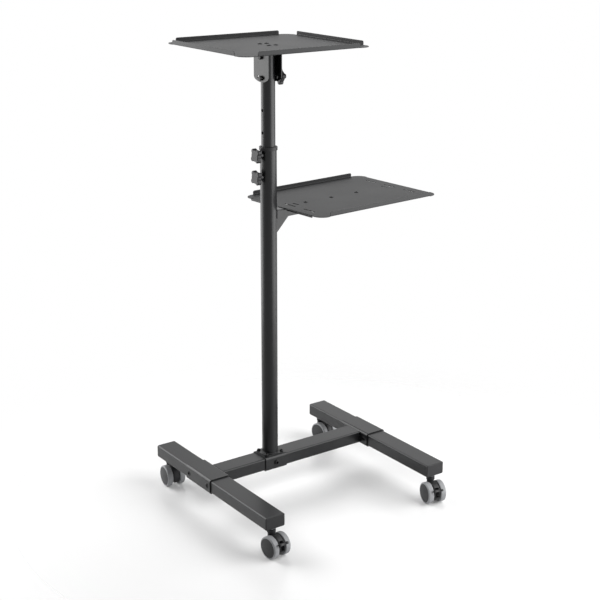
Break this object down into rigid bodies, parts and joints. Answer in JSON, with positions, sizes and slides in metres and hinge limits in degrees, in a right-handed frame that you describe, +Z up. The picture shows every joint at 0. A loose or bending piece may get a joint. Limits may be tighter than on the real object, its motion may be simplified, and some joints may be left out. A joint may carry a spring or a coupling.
{
  "type": "portable projector stand",
  "caption": "Rolling stand on twin-wheel casters: a telescoping round column with locking knobs, a tilting projector tray on top and a laptop shelf on a side arm.",
  "frame": {"origin": "Middle of the stand's bounding box, on the floor the wheels stand on.", "axes": "+Z up the column, +X to the right along the cross beam towards the laptop shelf, +Y to the rear."},
  "size_m": [0.6206, 0.5066, 1.0805],
  "materials": {
    "frame_paint": "fine-textured black powder coat, half matt",
    "black_plastic": "moulded black plastic",
    "black_steel": "blackened steel fasteners",
    "zinc_steel": "zinc-plated steel",
    "wheel_grey": "dark grey moulded plastic",
    "tyre_grey": "light grey soft tread"
  },
  "bodies": {
    "base": {"left_leg_sleeve": "frame_paint", "right_leg_sleeve": "frame_paint", "front_left_leg": "frame_paint", "rear_left_leg": "frame_paint", "front_right_leg": "frame_paint", "rear_right_leg": "frame_paint", "leg_end_caps": "black_plastic", "cross_beam": "frame_paint", "column_saddle": "frame_paint", "column_flange": "frame_paint", "outer_tube": "frame_paint", "lock_bosses": "frame_paint", "column_collar": "black_plastic", "shelf_arm": "frame_paint", "shelf_bracket": "frame_paint", "laptop_shelf": "frame_paint", "caster_stems": "zinc_steel"},
    "mast": {"inner_tube": "frame_paint", "pivot_bolt": "black_steel", "clamp_bolt": "black_steel"},
    "tray_head": {"tilt_bracket": "frame_paint", "projector_tray": "frame_paint"},
    "tilt_lock": {"tilt_knob": "black_plastic"},
    "upper_lock": {"upper_locking_knob": "black_plastic"},
    "lower_lock": {"lower_locking_knob": "black_plastic"},
    "front_left_swivel": {"front_left_hood": "black_plastic"},
    "front_left_wheels": {"front_left_wheel_set": "wheel_grey", "front_left_tyres": "tyre_grey"},
    "front_left_brake": {"front_left_brake_pedal": "black_plastic"},
    "front_right_swivel": {"front_right_hood": "black_plastic"},
    "front_right_wheels": {"front_right_wheel_set": "wheel_grey", "front_right_tyres": "tyre_grey"},
    "front_right_brake": {"front_right_brake_pedal": "black_plastic"},
    "rear_left_swivel": {"rear_left_hood": "black_plastic"},
    "rear_left_wheels": {"rear_left_wheel_set": "wheel_grey", "rear_left_tyres": "tyre_grey"},
    "rear_right_swivel": {"rear_right_hood": "black_plastic"},
    "rear_right_wheels": {"rear_right_wheel_set": "wheel_grey", "rear_right_tyres": "tyre_grey"}
  },
  "joints": [
    {"name": "mast_slide", "type": "slide", "parent": "base", "child": "mast", "axis": [0, 0, 1], "range_m": [-0.1, 0.2]},
    {"name": "tray_tilt", "type": "hinge", "parent": "mast", "child": "tray_head", "pos_m": [-0.10609, 0.0583, 1.0455], "axis": [1, 0, 0], "range_deg": [-15, 15]},
    {"name": "tilt_knob_turn", "type": "hinge", "parent": "mast", "child": "tilt_lock", "pos_m": [-0.10609, 0.0583, 0.9995], "axis": [1, 0, 0], "continuous": true},
    {"name": "upper_knob_turn", "type": "hinge", "parent": "base", "child": "upper_lock", "pos_m": [-0.10609, 0.0583, 0.828], "axis": [-1, 0, 0], "continuous": true},
    {"name": "lower_knob_turn", "type": "hinge", "parent": "base", "child": "lower_lock", "pos_m": [-0.10609, 0.0583, 0.778], "axis": [-1, 0, 0], "continuous": true},
    {"name": "front_left_swivel_turn", "type": "hinge", "parent": "base", "child": "front_left_swivel", "pos_m": [-0.28259, -0.2057, 0.0625], "axis": [0, 0, 1], "continuous": true},
    {"name": "front_left_wheels_roll", "type": "hinge", "parent": "front_left_swivel", "child": "front_left_wheels", "pos_m": [-0.28133, -0.22014, 0.02575], "axis": [0.9962, 0.0872, 0], "continuous": true},
    {"name": "front_left_brake_release", "type": "hinge", "parent": "front_left_swivel", "child": "front_left_brake", "pos_m": [-0.28027, -0.23222, 0.03275], "axis": [-0.9962, -0.0872, 0], "range_deg": [0, 14]},
    {"name": "front_right_swivel_turn", "type": "hinge", "parent": "base", "child": "front_right_swivel", "pos_m": [0.17741, -0.2057, 0.0625], "axis": [0, 0, 1], "continuous": true},
    {"name": "front_right_wheels_roll", "type": "hinge", "parent": "front_right_swivel", "child": "front_right_wheels", "pos_m": [0.17414, -0.21983, 0.02575], "axis": [0.9744, -0.225, 0], "continuous": true},
    {"name": "front_right_brake_release", "type": "hinge", "parent": "front_right_swivel", "child": "front_right_brake", "pos_m": [0.17142, -0.23164, 0.03275], "axis": [-0.9744, 0.225, 0], "range_deg": [0, 14]},
    {"name": "rear_left_swivel_turn", "type": "hinge", "parent": "base", "child": "rear_left_swivel", "pos_m": [-0.28259, 0.2373, 0.0625], "axis": [0, 0, 1], "continuous": true},
    {"name": "rear_left_wheels_roll", "type": "hinge", "parent": "rear_left_swivel", "child": "rear_left_wheels", "pos_m": [-0.28386, 0.22286, 0.02575], "axis": [0.9962, -0.0872, 0], "continuous": true},
    {"name": "rear_right_swivel_turn", "type": "hinge", "parent": "base", "child": "rear_right_swivel", "pos_m": [0.17741, 0.2373, 0.0625], "axis": [0, 0, 1], "continuous": true},
    {"name": "rear_right_wheels_roll", "type": "hinge", "parent": "rear_right_swivel", "child": "rear_right_wheels", "pos_m": [0.17917, 0.22291, 0.02575], "axis": [0.9925, 0.1219, 0], "continuous": true}
  ]
}
